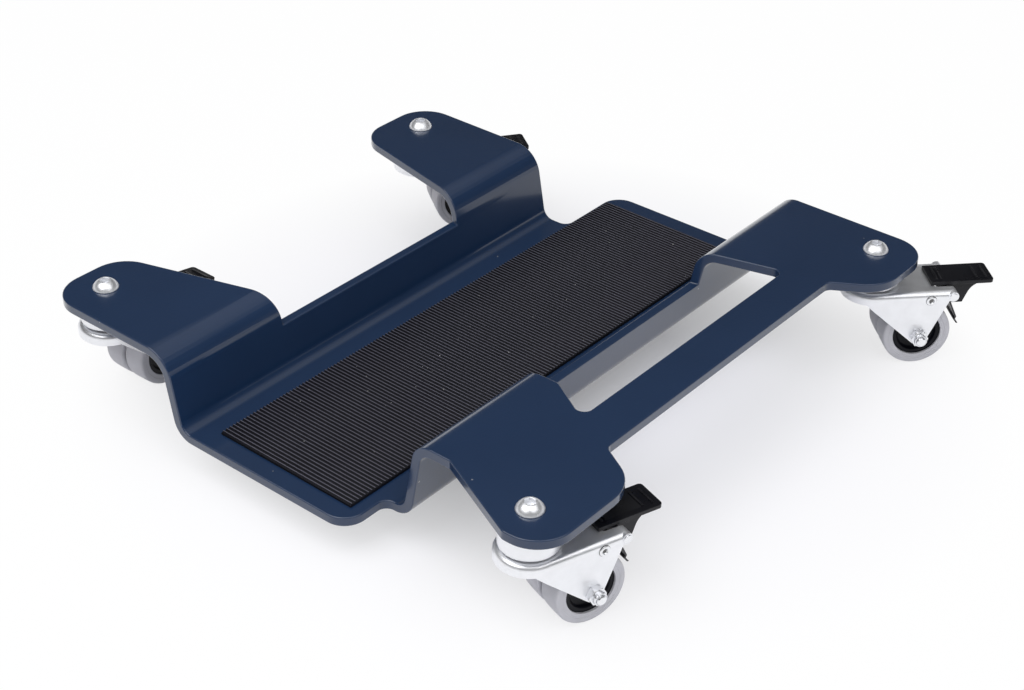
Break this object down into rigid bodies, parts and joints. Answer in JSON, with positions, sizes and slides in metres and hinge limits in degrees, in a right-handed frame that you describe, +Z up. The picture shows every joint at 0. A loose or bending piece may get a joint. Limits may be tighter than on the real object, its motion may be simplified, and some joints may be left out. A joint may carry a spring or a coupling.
{
  "type": "motorcycle mover dolly",
  "caption": "Low dolly for moving a parked motorcycle: a bent steel tray with a ribbed mat between raised ears, a side grip bar and braked twin-wheel swivel castors.",
  "frame": {"origin": "plan centre of the bounding box at floor level, castors as they stand in the picture", "axes": "+X across from the open left side towards the grip bar, +Y along the channel away from the viewer, +Z up"},
  "size_m": [0.5456, 0.572, 0.1071],
  "materials": {
    "navy_powder_coat": "gloss powder coat",
    "mat_rubber": "matt, fine ribs",
    "zinc": "bright zinc plate",
    "dark_steel": "greased",
    "black_plastic": "satin",
    "black_steel": "blackened spring steel",
    "grey_tread": "satin"
  },
  "bodies": {
    "frame": {"bent_deck_plate": "navy_powder_coat", "ribbed_rubber_mat": "mat_rubber", "castor_screws": "zinc", "castor_nuts": "zinc", "near_left_top_race": "zinc", "far_left_top_race": "zinc", "near_right_top_race": "zinc", "far_right_top_race": "zinc"},
    "near_left_castor": {"near_left_fork": "zinc", "near_left_ball_ring": "dark_steel", "near_left_axle_bolt": "zinc", "near_left_axle_nut": "zinc", "near_left_axle_sleeve": "dark_steel", "near_left_pedal_pin": "zinc", "near_left_cross_rivet": "zinc"},
    "near_left_head_side_wheel": {"near_left_head_side_hub": "black_plastic", "near_left_head_side_tyre": "grey_tread"},
    "near_left_nut_side_wheel": {"near_left_nut_side_hub": "black_plastic", "near_left_nut_side_tyre": "grey_tread"},
    "near_left_brake": {"near_left_pedal": "black_plastic", "near_left_brake_leaf": "black_steel"},
    "far_left_castor": {"far_left_fork": "zinc", "far_left_ball_ring": "dark_steel", "far_left_axle_bolt": "zinc", "far_left_axle_nut": "zinc", "far_left_axle_sleeve": "dark_steel", "far_left_pedal_pin": "zinc", "far_left_cross_rivet": "zinc"},
    "far_left_head_side_wheel": {"far_left_head_side_hub": "black_plastic", "far_left_head_side_tyre": "grey_tread"},
    "far_left_nut_side_wheel": {"far_left_nut_side_hub": "black_plastic", "far_left_nut_side_tyre": "grey_tread"},
    "far_left_brake": {"far_left_pedal": "black_plastic", "far_left_brake_leaf": "black_steel"},
    "near_right_castor": {"near_right_fork": "zinc", "near_right_ball_ring": "dark_steel", "near_right_axle_bolt": "zinc", "near_right_axle_nut": "zinc", "near_right_axle_sleeve": "dark_steel", "near_right_pedal_pin": "zinc", "near_right_cross_rivet": "zinc"},
    "near_right_head_side_wheel": {"near_right_head_side_hub": "black_plastic", "near_right_head_side_tyre": "grey_tread"},
    "near_right_nut_side_wheel": {"near_right_nut_side_hub": "black_plastic", "near_right_nut_side_tyre": "grey_tread"},
    "near_right_brake": {"near_right_pedal": "black_plastic", "near_right_brake_leaf": "black_steel"},
    "far_right_castor": {"far_right_fork": "zinc", "far_right_ball_ring": "dark_steel", "far_right_axle_bolt": "zinc", "far_right_axle_nut": "zinc", "far_right_axle_sleeve": "dark_steel", "far_right_pedal_pin": "zinc", "far_right_cross_rivet": "zinc"},
    "far_right_head_side_wheel": {"far_right_head_side_hub": "black_plastic", "far_right_head_side_tyre": "grey_tread"},
    "far_right_nut_side_wheel": {"far_right_nut_side_hub": "black_plastic", "far_right_nut_side_tyre": "grey_tread"},
    "far_right_brake": {"far_right_pedal": "black_plastic", "far_right_brake_leaf": "black_steel"}
  },
  "joints": [
    {"name": "near_left_swivel", "type": "hinge", "parent": "frame", "child": "near_left_castor", "pos_m": [-0.24351, -0.25063, 0.0705], "axis": [0, 0, 1], "continuous": true},
    {"name": "near_left_head_side_wheel_roll", "type": "hinge", "parent": "near_left_castor", "child": "near_left_head_side_wheel", "pos_m": [-0.24351, -0.21263, 0.029], "axis": [-1, 0, 0], "continuous": true},
    {"name": "near_left_nut_side_wheel_roll", "type": "hinge", "parent": "near_left_castor", "child": "near_left_nut_side_wheel", "pos_m": [-0.24351, -0.21263, 0.029], "axis": [-1, 0, 0], "continuous": true},
    {"name": "near_left_brake_press", "type": "hinge", "parent": "near_left_castor", "child": "near_left_brake", "pos_m": [-0.24351, -0.18663, 0.066], "axis": [-1, 0, 0], "range_deg": [-9.5, 0]},
    {"name": "far_left_swivel", "type": "hinge", "parent": "frame", "child": "far_left_castor", "pos_m": [-0.24351, 0.12337, 0.0705], "axis": [0, 0, 1], "continuous": true},
    {"name": "far_left_head_side_wheel_roll", "type": "hinge", "parent": "far_left_castor", "child": "far_left_head_side_wheel", "pos_m": [-0.22172, 0.1545, 0.029], "axis": [-0.8192, 0.5736, 0], "continuous": true},
    {"name": "far_left_nut_side_wheel_roll", "type": "hinge", "parent": "far_left_castor", "child": "far_left_nut_side_wheel", "pos_m": [-0.22172, 0.1545, 0.029], "axis": [-0.8192, 0.5736, 0], "continuous": true},
    {"name": "far_left_brake_press", "type": "hinge", "parent": "far_left_castor", "child": "far_left_brake", "pos_m": [-0.2068, 0.17579, 0.066], "axis": [-0.8192, 0.5736, 0], "range_deg": [0, 9.5]},
    {"name": "near_right_swivel", "type": "hinge", "parent": "frame", "child": "near_right_castor", "pos_m": [0.19249, -0.25063, 0.0705], "axis": [0, 0, 1], "continuous": true},
    {"name": "near_right_head_side_wheel_roll", "type": "hinge", "parent": "near_right_castor", "child": "near_right_head_side_wheel", "pos_m": [0.20486, -0.2147, 0.029], "axis": [-0.9455, 0.3256, 0], "continuous": true},
    {"name": "near_right_nut_side_wheel_roll", "type": "hinge", "parent": "near_right_castor", "child": "near_right_nut_side_wheel", "pos_m": [0.20486, -0.2147, 0.029], "axis": [-0.9455, 0.3256, 0], "continuous": true},
    {"name": "near_right_brake_press", "type": "hinge", "parent": "near_right_castor", "child": "near_right_brake", "pos_m": [0.21332, -0.19012, 0.066], "axis": [-0.9455, 0.3256, 0], "range_deg": [0, 9.5]},
    {"name": "far_right_swivel", "type": "hinge", "parent": "frame", "child": "far_right_castor", "pos_m": [0.19249, 0.20337, 0.0705], "axis": [0, 0, 1], "continuous": true},
    {"name": "far_right_head_side_wheel_roll", "type": "hinge", "parent": "far_right_castor", "child": "far_right_head_side_wheel", "pos_m": [0.21865, 0.23093, 0.029], "axis": [-0.7254, 0.6884, 0], "continuous": true},
    {"name": "far_right_nut_side_wheel_roll", "type": "hinge", "parent": "far_right_castor", "child": "far_right_nut_side_wheel", "pos_m": [0.21865, 0.23093, 0.029], "axis": [-0.7254, 0.6884, 0], "continuous": true},
    {"name": "far_right_brake_press", "type": "hinge", "parent": "far_right_castor", "child": "far_right_brake", "pos_m": [0.23654, 0.24979, 0.066], "axis": [-0.7254, 0.6884, 0], "range_deg": [0, 9.5]}
  ]
}
